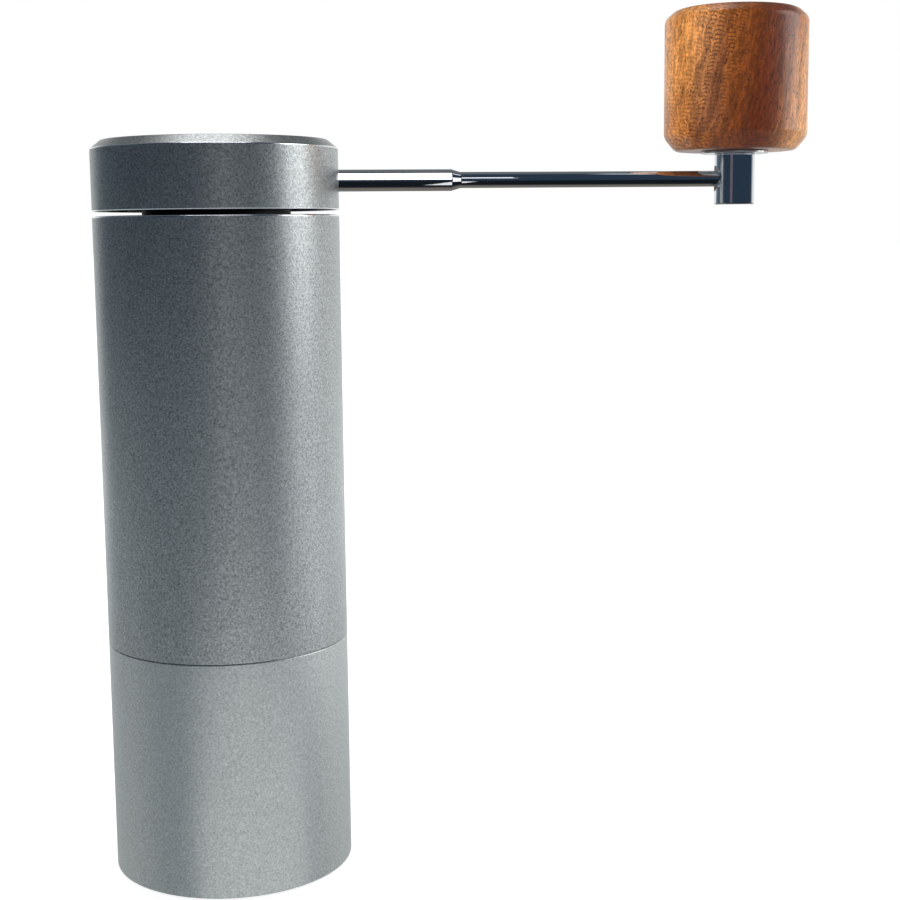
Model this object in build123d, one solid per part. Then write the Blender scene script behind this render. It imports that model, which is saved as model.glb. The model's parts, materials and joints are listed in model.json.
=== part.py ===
from build123d import *
import math
import os

# A hand crank coffee grinder with a conical burr set.
# +Z is up. The origin is on the body's axis, in the plane that the grinder stands on.
# The crank arm points along +X at rest. Every size is in millimetres.

# Fits that many pieces share
press_gap = 0.02  # radial gap between pieces that are pressed together
slip_gap = 0.05  # gap on each side of a piece that slides or turns on another
run_gap = 0.10  # gap between faces that turn past each other

# Outside of the body, its cup and the crank's cap
body_diameter = 52.0
cup_height = 50.3
tube_length = 91.3
lid_gap = 1.0
cap_height = 14.7
edge_break = 0.25
rim_break = 0.4

# Catch cup, its foot pad and the steel ring that the magnets hold
cup_wall = 3.2
cup_floor = 3.2
cup_floor_round = 3.0
cup_base_break = 0.3
cup_mouth_wall = 2.2
cup_mouth_depth = 9.8
pad_thickness = 1.5
pad_recess = 1.4
pad_margin = 4.5
pad_groove_width = 1.0
pad_groove_margin = 2.0
pad_groove_depth = 0.5
cup_ring_thickness = 1.0
cup_ring_width = 3.3

# Body tube
bay_wall = 3.2
hopper_wall = 3.6
mouth_wall = 3.0
mouth_depth = 13.0

# Ball bearings: a 7 x 14 x 5 mm pair
bearing_bore = 7.0
bearing_outer = 14.0
bearing_width = 5.0
ball_diameter = 2.3
ball_count = 7
race_groove_depth = 0.35
ball_groove_gap = 0.04
shield_thickness = 0.25
shield_gap = 0.16
cage_height = 3.2
cage_wall = 0.7

# Burr carrier with the lower bearing's hub, and the bridge with the upper bearing's hub
carrier_wall = 3.78
carrier_lip_height = 2.0
carrier_lip_width = 2.0
carrier_rim_wall = 1.6
hub_rise = 2.2
hub_wall = 2.5
hub_lip_height = 1.3
hub_lip_width = 1.4
hub_top_margin = 0.4
spoke_count = 3
spoke_start = 60.0
spoke_width = 3.6
spoke_drop = 1.0
bridge_rim_wall = 2.8
snap_ring_thickness = 0.8
snap_ring_width = 1.4
snap_groove_depth = 0.6
snap_ring_gap = 9.0

# Burr set
burr_height = 20.0
burr_foot_wall = 2.1
burr_head_wall = 2.2
fine_height = 8.6
fine_taper = 4.3
burr_gap = 0.42
burr_drop = 0.8
inner_burr_height = 19.4
inner_burr_top_wall = 1.6
fine_teeth = 36
fine_groove_share = 0.6  # of the space that each fine tooth has
fine_groove_depth = 0.7
fine_groove_skew = 18.0
coarse_grooves = 6
coarse_groove_depth = 1.1
outer_coarse_width = 3.1
inner_coarse_width = 2.6
coarse_groove_skew = 32.0
groove_overrun = 1.35  # a skewed groove's length over that of the cone's side

# Base ring under the burrs, its screws and the magnets that hold the cup
base_ring_height = 8.5
base_ring_hold = 1.4
base_ring_flare = 0.8
base_ring_clearance = 0.1
small_screw_diameter = 2.0
small_head_diameter = 3.6
small_head_height = 1.4
small_screw_length = 13.0
small_key = 1.5
small_key_depth = 0.95
base_screw_count = 3
magnet_diameter = 3.0
magnet_height = 3.0
magnets_between_screws = 2
magnet_wall = 0.6

# Main shaft
shaft_flats = 5.6
shaft_shoulder = 0.9
shaft_shoulder_height = 1.6
thread_diameter = 6.0
thread_pitch = 0.75
thread_depth = 0.4
thread_length = 8.6
shaft_hex = 5.8
hex_chamfer = 0.9
clip_thickness = 0.6
clip_width = 1.6
clip_groove_depth = 0.5
clip_opening = 5.0

# Burr spring
spring_wire = 0.9
spring_bore_gap = 0.95
spring_turns = 4.5
spring_seat_depth = 5.0
spring_seat_gap = 0.35

# Grind dial under the inner burr
plate_thickness = 0.8
plate_margin = 1.2
click_count = 12
click_radius = 0.8
click_depth = 0.3
dial_height = 5.4
dial_diameter = 23.0
dial_scallop_radius = 2.2
dial_scallop_depth = 0.8
dial_edge = 0.4
dial_tick_length = 2.4
dial_tick_width = 0.5
dial_tick_depth = 0.35
detent_ball_diameter = 1.5
detent_spring_wire = 0.3
detent_spring_length = 2.6
detent_spring_turns = 4.0
clip_run = 1.7
dial_rise = 0.9
shaft_tail = 1.4

# Crank cap and the pieces inside it
cap_wall = 2.8
cap_roof = 2.8
cap_chamfer_width = 2.2
cap_chamfer_height = 1.8
badge_diameter = 32.0
badge_thickness = 0.75
badge_groove_margin = 1.0
badge_groove_width = 0.5
badge_groove_depth = 0.2
plug_inset = 0.5
plug_flange = 1.7
plug_diameter = 31.4
plug_drop = 3.8
plug_skin = 1.6
plug_sink_depth = 0.85
plug_ribs = 6
plug_screw_count = 3
plug_screw_start = 60.0
plug_screw_length = 7.0
boss_diameter = 5.6
boss_root = 0.7
hub_diameter = 16.0
socket_headroom = 0.7
shaft_reach = 1.3
lid_magnet_diameter = 5.0
lid_magnet_height = 1.3
hub_screw_diameter = 4.0
hub_screw_head = 7.6
hub_screw_length = 5.2
hub_key = 2.4
hub_key_depth = 1.45

# Crank arm, its post and the knob
arm_height = 6.25
arm_reach = 114.3
arm_root_diameter = 4.7
arm_root_length = 24.5
arm_taper_length = 2.0
arm_diameter = 3.5
arm_tail = 5.5
post_diameter = 8.9
post_below_arm = 5.7
post_above_arm = 5.45
post_edge = 0.35
post_countersink = 1.1
arm_end_depth = 2.6
set_screw_diameter = 2.5
set_screw_key = 1.1
set_screw_key_depth = 1.1
set_screw_angle = -62.0
washer_diameter = 14.8
washer_thickness = 0.5
spindle_thread = 4.0
spindle_thread_length = 3.6
spindle_diameter = 5.0
spindle_head_diameter = 8.4
spindle_head_height = 2.0
spindle_key = 3.0
spindle_key_depth = 1.2
bush_diameter = 12.0
bush_length = 18.5
knob_diameter = 31.3
knob_height = 30.5
knob_top_chamfer_width = 2.4
knob_top_chamfer_height = 2.1
knob_foot_chamfer_width = 2.5
knob_foot_chamfer_height = 2.95
knob_edge_round = 0.5
knob_headroom = 1.0

# Heights that follow from the sizes above
z_cup_base = pad_thickness - pad_recess
z_rim = z_cup_base + cup_height
z_tube_top = z_rim + tube_length
z_cap_base = z_tube_top + lid_gap
z_cap_top = z_cap_base + cap_height
z_cap_roof = z_cap_top - cap_roof
z_burr_top = z_rim + burr_height
z_lip_top = z_burr_top + carrier_lip_height
z_low_bearing = z_lip_top + hub_rise
z_carrier_top = z_low_bearing + bearing_width + hub_top_margin
z_bridge = z_tube_top - mouth_depth
z_high_bearing = z_bridge + hub_lip_height
z_bridge_top = z_high_bearing + bearing_width
z_throat = z_rim + fine_height
z_inner_burr = z_rim - burr_drop
z_inner_burr_top = z_inner_burr + inner_burr_height
z_plate = z_inner_burr - plate_thickness
z_dial_top = z_plate - run_gap
z_thread_top = z_dial_top + dial_rise
z_dial = z_dial_top - dial_height
z_dial_clip = z_dial - clip_run - clip_thickness
z_shaft = z_dial_clip - shaft_tail
z_shoulder = z_low_bearing - shaft_shoulder_height
z_shaft_clip = z_bridge_top + run_gap
z_hex = z_shaft_clip + 2 * clip_thickness
z_shaft_top = z_cap_base + shaft_reach
z_hub = z_hex
z_socket = z_shaft_top + socket_headroom
z_arm = z_cap_base + arm_height
z_post = z_arm - post_below_arm
z_post_top = z_arm + post_above_arm
z_washer_top = z_post_top + washer_thickness
z_knob = z_washer_top + run_gap
z_bush = z_knob + run_gap
z_spindle_head = z_bush + bush_length + run_gap
z_knob_top = z_knob + knob_height

# Radii that follow from the sizes above
r_body = body_diameter / 2
r_bay = r_body - bay_wall
r_hopper = r_body - hopper_wall
r_mouth = r_body - mouth_wall
r_carrier = r_bay - press_gap
r_pocket = r_carrier - carrier_wall
r_burr = r_pocket - press_gap
r_burr_foot = r_burr - burr_foot_wall
r_throat = r_burr_foot - fine_taper
r_burr_head = r_burr - burr_head_wall
r_inner_foot = r_burr_foot - burr_gap
r_inner_throat = r_throat - burr_gap
r_shaft = bearing_bore / 2 - press_gap
r_thread = thread_diameter / 2
r_spring = r_shaft + spring_bore_gap + spring_wire / 2
r_spring_seat = r_spring + spring_wire / 2 + spring_seat_gap
r_inner_top = r_spring_seat + inner_burr_top_wall
r_cup_mouth = r_body - cup_mouth_wall
r_base_ring = r_cup_mouth - base_ring_clearance
r_base_screw = (r_pocket + r_carrier) / 2
r_magnet = r_base_ring - magnet_wall - magnet_diameter / 2
r_ball_circle = (bearing_bore + bearing_outer) / 4
r_inner_race = r_ball_circle - ball_diameter / 2 + race_groove_depth
r_outer_race = r_ball_circle + ball_diameter / 2 - race_groove_depth
r_hub_pocket = bearing_outer / 2 + press_gap
r_hub = r_hub_pocket + hub_wall
r_cap_bore = r_body - cap_wall
r_plug_screw = r_cap_bore - boss_diameter / 2 - run_gap
r_plate = dial_diameter / 2 - plate_margin
r_detent = (r_thread + dial_diameter / 2 - dial_scallop_depth) / 2

BOTTOM = (Align.CENTER, Align.CENTER, Align.MIN)
same_height = 0.01  # edges this near to a height lie at it


def turned(*points):
    """A solid of revolution about Z from a closed outline of (radius, height) points."""
    return revolve(make_face(Plane.XZ * Polyline(*points, close=True)), Axis.Z)


def disc(radius, low, high, x=0.0, y=0.0):
    """An upright cylinder from one height to another."""
    return Pos(x, y, low) * Cylinder(radius, high - low, align=BOTTOM)


def ring(outer, inner, low, high):
    """An upright tube from one height to another."""
    return disc(outer, low, high) - disc(inner, low, high)


def hexagon(across_flats, low, high):
    """An upright hexagonal prism."""
    outline = RegularPolygon(across_flats / 2, 6, major_radius=False)
    return Pos(0, 0, low) * extrude(outline, high - low)


def block(length, width, low, high, x=0.0):
    """A box centred on Y, whose length starts at x."""
    align = (Align.MIN, Align.CENTER, Align.MIN)
    return Pos(x, 0, low) * Box(length, width, high - low, align=align)


def around(shape, count, start=0.0):
    """Copies of a shape, evenly spaced about Z."""
    return [Rot(0, 0, start + 360.0 * i / count) * shape for i in range(count)]


def coil(radius, wire, low, high, turns):
    """A round-wire compression spring whose wire stays between two heights."""
    height = high - low - wire
    path = Helix(height / turns, height, radius, center=(0, 0, low + wire / 2))
    section = Plane(path @ 0, z_dir=path % 0) * Circle(wire / 2)
    return sweep(section, path, is_frenet=True)


def clip(radius, low):
    """An external retaining clip: a thin ring with an opening at the back."""
    body = ring(radius + clip_width, radius, low, low + clip_thickness)
    return body - block(radius + 2 * clip_width, clip_opening, low, low + clip_thickness)


def small_screw(length):
    """A small cap screw that hangs from its head's underside at the origin, pointing up."""
    head = disc(small_head_diameter / 2, -small_head_height, 0)
    shank = disc(small_screw_diameter / 2 - press_gap, 0, length)
    recess = hexagon(small_key, -small_head_height, small_key_depth - small_head_height)
    return head + shank - recess


# Catch cup


def catch_cup():
    inner = r_body - cup_wall
    floor = z_cup_base + cup_floor
    ledge = z_rim - cup_mouth_depth
    shell = turned(
        (0, z_cup_base),
        (r_body - cup_base_break, z_cup_base),
        (r_body, z_cup_base + cup_base_break),
        (r_body, z_rim - edge_break),
        (r_body - edge_break, z_rim),
        (r_cup_mouth, z_rim),
        (r_cup_mouth, ledge),
        (inner, ledge),
        (inner, floor),
        (0, floor),
    )
    circles = shell.edges().filter_by(GeomType.CIRCLE)
    shell = fillet([e for e in circles if abs(e.center().Z - floor) < same_height], cup_floor_round)
    return shell - disc(r_body - pad_margin, z_cup_base, z_cup_base + pad_recess)


def base_pad():
    radius = r_body - pad_margin - press_gap
    groove = radius - pad_groove_margin
    pad = disc(radius, 0, pad_thickness)
    return pad - ring(groove, groove - pad_groove_width, 0, pad_groove_depth)


def cup_ring():
    low = z_rim - cup_mouth_depth
    outer = r_cup_mouth - press_gap
    return ring(outer, outer - cup_ring_width, low, low + cup_ring_thickness)


# Body tube, with the bay for the burr carrier below and the seat for the bridge above


def body_tube():
    groove_low = z_bridge_top
    groove_high = groove_low + snap_ring_thickness + press_gap
    return turned(
        (r_bay, z_rim),
        (r_body - edge_break, z_rim),
        (r_body, z_rim + edge_break),
        (r_body, z_tube_top - rim_break),
        (r_body - rim_break, z_tube_top),
        (r_mouth + rim_break, z_tube_top),
        (r_mouth, z_tube_top - rim_break),
        (r_mouth, groove_high),
        (r_mouth + snap_groove_depth, groove_high),
        (r_mouth + snap_groove_depth, groove_low),
        (r_mouth, groove_low),
        (r_mouth, z_bridge),
        (r_hopper, z_bridge),
        (r_hopper, z_carrier_top),
        (r_bay, z_carrier_top),
    )


def spider(rim, bearing_low, hub_top, spoke_low, spoke_high, reach):
    """A rim with spokes and a hub whose pocket takes a bearing."""
    hub = disc(r_hub, bearing_low - hub_lip_height, hub_top)
    spoke = block(reach, spoke_width, spoke_low, spoke_high)
    body = rim + hub + around(spoke, spoke_count, spoke_start)
    pocket = disc(r_hub_pocket, bearing_low, hub_top)
    opening = disc(r_hub_pocket - hub_lip_width, bearing_low - hub_lip_height, hub_top)
    return body - pocket - opening


def burr_carrier():
    rim = turned(
        (r_pocket, z_rim),
        (r_carrier, z_rim),
        (r_carrier, z_carrier_top),
        (r_carrier - carrier_rim_wall, z_carrier_top),
        (r_pocket - carrier_lip_width, z_lip_top),
        (r_pocket - carrier_lip_width, z_burr_top),
        (r_pocket, z_burr_top),
    )
    reach = r_carrier - carrier_rim_wall / 2
    spoke_low = z_low_bearing - hub_lip_height
    body = spider(rim, z_low_bearing, z_carrier_top, spoke_low, z_carrier_top - spoke_drop, reach)
    depth = small_screw_length - (base_ring_height - small_head_height) + small_screw_diameter
    hole = disc(small_screw_diameter / 2, z_rim, z_rim + depth, r_base_screw)
    return body - around(hole, base_screw_count, spoke_start)


def upper_bridge():
    outer = r_mouth - press_gap
    rim = ring(outer, outer - bridge_rim_wall, z_bridge, z_bridge_top)
    reach = outer - bridge_rim_wall / 2
    return spider(rim, z_high_bearing, z_bridge_top, z_bridge, z_bridge_top - spoke_drop, reach)


def bridge_snap_ring():
    outer = r_mouth + snap_groove_depth - press_gap
    low = z_bridge_top
    high = low + snap_ring_thickness
    body = ring(outer, outer - snap_ring_width, low, high)
    return body - Rot(0, 0, 180) * block(outer + snap_ring_width, snap_ring_gap, low, high)


# Ball bearings


def bearing_parts(low):
    """The separate pieces of one shielded ball bearing that stands at a height."""
    high = low + bearing_width
    middle = (low + high) / 2
    ball = ball_diameter / 2
    track = Pos(0, 0, middle) * Torus(r_ball_circle, ball + ball_groove_gap)
    balls = around(Pos(r_ball_circle, 0, middle) * Sphere(ball), ball_count)
    pocket = Rot(0, 90, 0) * Cylinder(ball + ball_groove_gap, 2 * cage_wall)
    pockets = around(Pos(r_ball_circle, 0, middle) * pocket, ball_count)
    cage_low = middle - cage_height / 2
    half_wall = cage_wall / 2
    cage = ring(r_ball_circle + half_wall, r_ball_circle - half_wall, cage_low, cage_low + cage_height)
    shields = [
        ring(r_outer_race - press_gap, r_inner_race + shield_gap, z, z + shield_thickness)
        for z in (low + shield_gap, high - shield_gap - shield_thickness)
    ]
    return {
        "inner_race": ring(r_inner_race, bearing_bore / 2, low, high) - track,
        "outer_race": ring(bearing_outer / 2, r_outer_race, low, high) - track,
        "balls": Compound(balls),
        "cage": cage - pockets,
        "shields": Compound(shields),
    }


# Burr set


def groove(length, width, depth):
    """A V-shaped cutter along X, its edge pointing down, as wide as the groove at the origin's height."""
    outline = Polyline((-width, depth), (0, -depth), (width, depth), close=True)
    return extrude(Plane.YZ * make_face(outline), length / 2, both=True)


def cone_cutters(count, low, high, width, depth, skew, outward):
    """Cutters spread round a cone that runs between two (radius, height) points."""
    shape = groove(math.dist(low, high) * groove_overrun, width, depth)
    dr, dz = high[0] - low[0], high[1] - low[1]
    slope = math.degrees(math.atan2(dz, dr))
    turn = slope if outward else slope - 180.0
    middle = Pos((low[0] + high[0]) / 2, 0, (low[1] + high[1]) / 2)
    return around(middle * Rot(0, -turn, 0) * Rot(0, 0, skew) * shape, count)


def outer_burr():
    body = turned(
        (r_burr_foot, z_rim),
        (r_burr, z_rim),
        (r_burr, z_burr_top),
        (r_burr_head, z_burr_top),
        (r_throat, z_throat),
    )
    foot, throat, head = (r_burr_foot, z_rim), (r_throat, z_throat), (r_burr_head, z_burr_top)
    width = 2 * math.pi * r_throat / fine_teeth * fine_groove_share
    fine = cone_cutters(fine_teeth, foot, throat, width, fine_groove_depth, fine_groove_skew, True)
    coarse = cone_cutters(
        coarse_grooves, throat, head, outer_coarse_width, coarse_groove_depth, -coarse_groove_skew, True
    )
    return body - fine - coarse


def double_d(radius, flats, low, high):
    """A shaft section with two flats."""
    side = Box(4 * radius, flats, high - low, align=BOTTOM)
    return disc(radius, low, high) & Pos(0, 0, low) * side


def inner_burr():
    body = turned(
        (0, z_inner_burr),
        (r_inner_foot, z_inner_burr),
        (r_inner_foot, z_rim),
        (r_inner_throat, z_throat),
        (r_inner_top, z_inner_burr_top),
        (0, z_inner_burr_top),
    )
    foot, throat = (r_inner_foot, z_rim), (r_inner_throat, z_throat)
    head = (r_inner_top, z_inner_burr_top)
    width = 2 * math.pi * r_inner_throat / fine_teeth * fine_groove_share
    fine = cone_cutters(fine_teeth, foot, throat, width, fine_groove_depth, fine_groove_skew, False)
    coarse = cone_cutters(
        coarse_grooves, throat, head, inner_coarse_width, coarse_groove_depth, coarse_groove_skew, False
    )
    bore = double_d(r_shaft + slip_gap, shaft_flats + 2 * slip_gap, z_inner_burr, z_inner_burr_top)
    seat = disc(r_spring_seat, z_inner_burr_top - spring_seat_depth, z_inner_burr_top)
    return body - fine - coarse - bore - seat


def burr_spring():
    low = z_inner_burr_top - spring_seat_depth + slip_gap
    return coil(r_spring, spring_wire, low, z_shoulder - slip_gap, spring_turns)


# Base ring, its screws and magnets


def base_screw_places(shape):
    return around(shape, base_screw_count, spoke_start)


def magnet_places(shape):
    """Copies of a shape in each space between two base ring screws."""
    step = 360.0 / base_screw_count / (magnets_between_screws + 1)
    turns = [step * (i + 1) for i in range(magnets_between_screws)]
    return [copy for turn in turns for copy in around(shape, base_screw_count, spoke_start + turn)]


def base_ring():
    low = z_rim - base_ring_height
    top_radius = r_burr - base_ring_hold
    body = turned(
        (top_radius, z_rim),
        (top_radius + base_ring_flare, low),
        (r_base_ring - edge_break, low),
        (r_base_ring, low + edge_break),
        (r_base_ring, z_rim),
    )
    hole = disc(small_screw_diameter / 2 + slip_gap, low, z_rim, r_base_screw)
    head = disc(small_head_diameter / 2 + slip_gap, low, low + small_head_height, r_base_screw)
    magnet = disc(magnet_diameter / 2 + press_gap, low, low + magnet_height, r_magnet)
    return body - base_screw_places(hole) - base_screw_places(head) - magnet_places(magnet)


def base_ring_screws():
    low = z_rim - base_ring_height + small_head_height
    return Compound(base_screw_places(Pos(r_base_screw, 0, low) * small_screw(small_screw_length)))


def cup_magnets():
    low = z_rim - base_ring_height
    return Compound(magnet_places(disc(magnet_diameter / 2, low, low + magnet_height, r_magnet)))


# Main shaft and what rides on it


def thread_outline():
    """The stepped outline of the shaft's threaded end, from its tip upwards."""
    points = [(0, z_shaft), (r_thread - thread_depth, z_shaft)]
    groove_low, groove_high = z_dial_clip, z_dial_clip + clip_thickness
    neck = r_thread - clip_groove_depth
    points += [(r_thread, z_shaft + thread_depth), (r_thread, groove_low), (neck, groove_low)]
    points += [(neck, groove_high), (r_thread, groove_high)]
    quarter = thread_pitch / 4
    for i in range(int(thread_length / thread_pitch)):
        low = groove_high + thread_pitch * i + quarter
        points += [(r_thread, low), (r_thread - thread_depth, low + 2 * quarter)]
        points += [(r_thread, low + 3 * quarter)]
    return points


def main_shaft():
    shoulder = r_shaft + shaft_shoulder
    neck = r_shaft - clip_groove_depth
    clip_top = z_shaft_clip + clip_thickness
    body = turned(
        *thread_outline(),
        (r_thread, z_thread_top),
        (r_shaft, z_thread_top),
        (r_shaft, z_shoulder),
        (shoulder, z_shoulder),
        (shoulder, z_low_bearing),
        (r_shaft, z_low_bearing),
        (r_shaft, z_shaft_clip),
        (neck, z_shaft_clip),
        (neck, clip_top),
        (r_shaft, clip_top),
        (r_shaft, z_shaft_top - hex_chamfer),
        (r_shaft - hex_chamfer, z_shaft_top),
        (0, z_shaft_top),
    )
    above = disc(body_diameter, z_hex, z_shaft_top) - hexagon(shaft_hex, z_hex, z_shaft_top)
    side = disc(body_diameter, z_shaft, z_shoulder)
    flats = side - double_d(body_diameter, shaft_flats, z_shaft, z_shoulder)
    return body - above - flats


def shaft_clip():
    return Rot(0, 0, 90) * clip(r_shaft - clip_groove_depth + press_gap, z_shaft_clip)


def dial_clip():
    return Rot(0, 0, 90) * clip(r_thread - clip_groove_depth + press_gap, z_dial_clip)


# Grind dial


def index_plate():
    bore = double_d(r_shaft + slip_gap, shaft_flats + 2 * slip_gap, z_plate, z_inner_burr)
    dimple = Pos(r_detent, 0, z_plate - click_radius + click_depth) * Sphere(click_radius)
    return disc(r_plate, z_plate, z_inner_burr) - bore - around(dimple, click_count)


def detent_places(shape):
    return around(Pos(r_detent, 0, 0) * shape, 2)


def grind_dial():
    radius = dial_diameter / 2
    body = turned(
        (r_thread + slip_gap, z_dial),
        (radius - dial_edge, z_dial),
        (radius, z_dial + dial_edge),
        (radius, z_dial_top - dial_edge),
        (radius - dial_edge, z_dial_top),
        (r_thread + slip_gap, z_dial_top),
    )
    offset = radius + dial_scallop_radius - dial_scallop_depth
    scallop = disc(dial_scallop_radius, z_dial, z_dial_top, offset)
    tick_start = radius - dial_scallop_depth - dial_edge - dial_tick_length
    tick = block(dial_tick_length, dial_tick_width, z_dial, z_dial + dial_tick_depth, tick_start)
    hole_depth = detent_ball_diameter + detent_spring_length
    hole = disc(detent_ball_diameter / 2 + slip_gap, z_dial_top - hole_depth, z_dial_top)
    body = body - around(scallop, click_count) - detent_places(hole)
    return body - around(tick, click_count, 180.0 / click_count)


def detent_balls():
    centre = z_dial_top - detent_ball_diameter / 2
    return Compound(detent_places(Pos(0, 0, centre) * Sphere(detent_ball_diameter / 2)))


def detent_springs():
    high = z_dial_top - detent_ball_diameter - press_gap
    low = high - detent_spring_length + 2 * press_gap
    radius = (detent_ball_diameter - detent_spring_wire) / 2
    return Compound(detent_places(coil(radius, detent_spring_wire, low, high, detent_spring_turns)))


# Crank cap and the pieces inside it


def plug_screw_places(shape):
    return around(Pos(r_plug_screw, 0, 0) * shape, plug_screw_count, plug_screw_start)


def cap_shell():
    body = turned(
        (r_cap_bore, z_cap_base),
        (r_body - edge_break, z_cap_base),
        (r_body, z_cap_base + edge_break),
        (r_body, z_cap_top - cap_chamfer_height),
        (r_body - cap_chamfer_width, z_cap_top),
        (0, z_cap_top),
        (0, z_cap_roof),
        (r_cap_bore, z_cap_roof),
    )
    flange_top = z_cap_base + plug_inset + plug_flange
    boss = disc(boss_diameter / 2, flange_top, z_cap_roof + boss_root)
    hole = disc(small_screw_diameter / 2, flange_top, z_cap_roof)
    badge_low = z_cap_top - badge_thickness - press_gap
    recess = disc(badge_diameter / 2 + press_gap, badge_low, z_cap_top)
    arm_hole = Pos(0, 0, z_arm) * Rot(0, 90, 0) * Cylinder(
        arm_root_diameter / 2 + slip_gap, body_diameter, align=BOTTOM
    )
    r_head = hub_screw_head / 2 + slip_gap
    r_hole = hub_screw_diameter / 2 + slip_gap
    sink = turned(
        (0, z_cap_roof), (r_hole, z_cap_roof), (r_hole, badge_low - r_head + r_hole),
        (r_head, badge_low), (0, badge_low),
    )
    return body + plug_screw_places(boss) - plug_screw_places(hole) - recess - arm_hole - sink


def cap_badge():
    low = z_cap_top - badge_thickness
    disc_body = disc(badge_diameter / 2, low, z_cap_top)
    outer = badge_diameter / 2 - badge_groove_margin
    line = ring(outer, outer - badge_groove_width, z_cap_top - badge_groove_depth, z_cap_top)
    return disc_body - line


def lid_plug():
    flange_low = z_cap_base + plug_inset
    flange_high = flange_low + plug_flange
    low = z_cap_base - plug_drop
    r_flange = r_cap_bore - run_gap
    r_plug = plug_diameter / 2
    r_bore = hub_diameter / 2 + slip_gap
    body = turned(
        (r_bore, low),
        (r_plug, low),
        (r_plug, flange_low),
        (r_flange, flange_low),
        (r_flange, flange_high),
        (r_plug - plug_skin, flange_high),
        (r_plug - plug_skin, low + plug_skin),
        (r_bore + plug_skin, low + plug_skin),
        (r_bore + plug_skin, flange_high),
        (r_bore, flange_high),
    )
    rib_start = r_bore + plug_skin / 2
    rib = block(r_plug - plug_skin / 2 - rib_start, plug_skin, low, flange_high, rib_start)
    hole = disc(small_screw_diameter / 2 + slip_gap, flange_low, flange_high)
    sink = disc(small_head_diameter / 2 + slip_gap, flange_low, flange_low + plug_sink_depth)
    body = body + around(rib, plug_ribs)
    return body - plug_screw_places(hole) - plug_screw_places(sink)


def plug_screws():
    low = z_cap_base + plug_inset + plug_sink_depth
    return Compound(plug_screw_places(Pos(0, 0, low) * small_screw(plug_screw_length)))


def drive_hub():
    body = disc(hub_diameter / 2, z_hub, z_cap_roof)
    socket = hexagon(shaft_hex + 2 * slip_gap, z_hub, z_socket)
    magnet = disc(lid_magnet_diameter / 2 + press_gap, z_socket, z_socket + lid_magnet_height)
    arm_hole = Pos(-arm_tail, 0, z_arm) * Rot(0, 90, 0) * Cylinder(
        arm_root_diameter / 2 + press_gap, body_diameter, align=BOTTOM
    )
    tapped = disc(hub_screw_diameter / 2, z_arm, z_cap_roof)
    return body - socket - magnet - arm_hole - tapped


def lid_magnet():
    return disc(lid_magnet_diameter / 2, z_socket, z_socket + lid_magnet_height)


def hub_screw():
    top = z_cap_top - badge_thickness - 2 * press_gap
    r_head = hub_screw_head / 2
    r_shank = hub_screw_diameter / 2 - press_gap
    body = turned(
        (0, top - hub_screw_length),
        (r_shank, top - hub_screw_length),
        (r_shank, top - r_head + r_shank),
        (r_head, top),
        (0, top),
    )
    return body - hexagon(hub_key, top - hub_key_depth, top)


def crank_arm():
    root_end = r_body + arm_root_length
    end = arm_reach + arm_end_depth
    r_root, r_arm = arm_root_diameter / 2, arm_diameter / 2
    outline = Polyline(
        (-arm_tail, 0),
        (-arm_tail, r_root),
        (root_end, r_root),
        (root_end + arm_taper_length, r_arm),
        (end, r_arm),
        (end, 0),
        close=True,
    )
    return Pos(0, 0, z_arm) * revolve(make_face(Plane.XZ * outline), Axis.X)


def knob_post():
    radius = post_diameter / 2
    body = turned(
        (0, z_post),
        (radius - post_edge, z_post),
        (radius, z_post + post_edge),
        (radius, z_post_top - post_edge),
        (radius - post_edge, z_post_top),
        (0, z_post_top),
    )
    r_hole = arm_diameter / 2 + press_gap
    r_sink = r_hole + post_countersink
    hole = Pos(arm_end_depth + press_gap, 0, z_arm) * Rot(0, -90, 0) * Cylinder(
        r_hole, post_diameter, align=BOTTOM
    )
    sink = Pos(-radius, 0, z_arm) * Rot(0, -90, 0) * Cone(
        r_hole, r_sink, post_countersink, align=BOTTOM
    )
    sink = Pos(post_countersink, 0, 0) * sink
    tapped = disc(spindle_thread / 2, z_post_top - spindle_thread_length - run_gap, z_post_top)
    body = body - hole - sink - tapped - set_screw_shape(radius, press_gap)
    return Pos(arm_reach, 0, 0) * body


def set_screw_shape(outer, gap):
    """The set screw's cylinder, about the post's axis, from the arm's side out to a radius."""
    turn = math.radians(set_screw_angle)
    corner = (arm_diameter + set_screw_diameter * math.cos(turn)) / 2
    start = (corner + press_gap) / abs(math.sin(turn))
    body = Cylinder(set_screw_diameter / 2 + gap, outer - start, align=BOTTOM)
    return Pos(0, 0, z_arm) * Rot(0, 0, set_screw_angle) * Rot(0, 90, 0) * Pos(0, 0, start) * body


def post_set_screw():
    outer = post_diameter / 2 - post_edge
    body = set_screw_shape(outer, 0)
    key = hexagon(set_screw_key, -set_screw_key_depth, 0)
    key = Pos(0, 0, z_arm) * Rot(0, 0, set_screw_angle) * Rot(0, 90, 0) * Pos(0, 0, outer) * key
    return Pos(arm_reach, 0, 0) * (body - key)


def knob_washer():
    body = ring(washer_diameter / 2, spindle_thread / 2 + slip_gap, z_post_top, z_washer_top)
    return Pos(arm_reach, 0, 0) * body


def knob_spindle():
    r_thread_end = spindle_thread / 2 - press_gap
    head_top = z_spindle_head + spindle_head_height
    body = turned(
        (0, z_post_top - spindle_thread_length),
        (r_thread_end, z_post_top - spindle_thread_length),
        (r_thread_end, z_washer_top),
        (spindle_diameter / 2, z_washer_top),
        (spindle_diameter / 2, z_spindle_head),
        (spindle_head_diameter / 2, z_spindle_head),
        (spindle_head_diameter / 2, head_top),
        (0, head_top),
    )
    recess = hexagon(spindle_key, head_top - spindle_key_depth, head_top)
    return Pos(arm_reach, 0, 0) * (body - recess)


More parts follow.
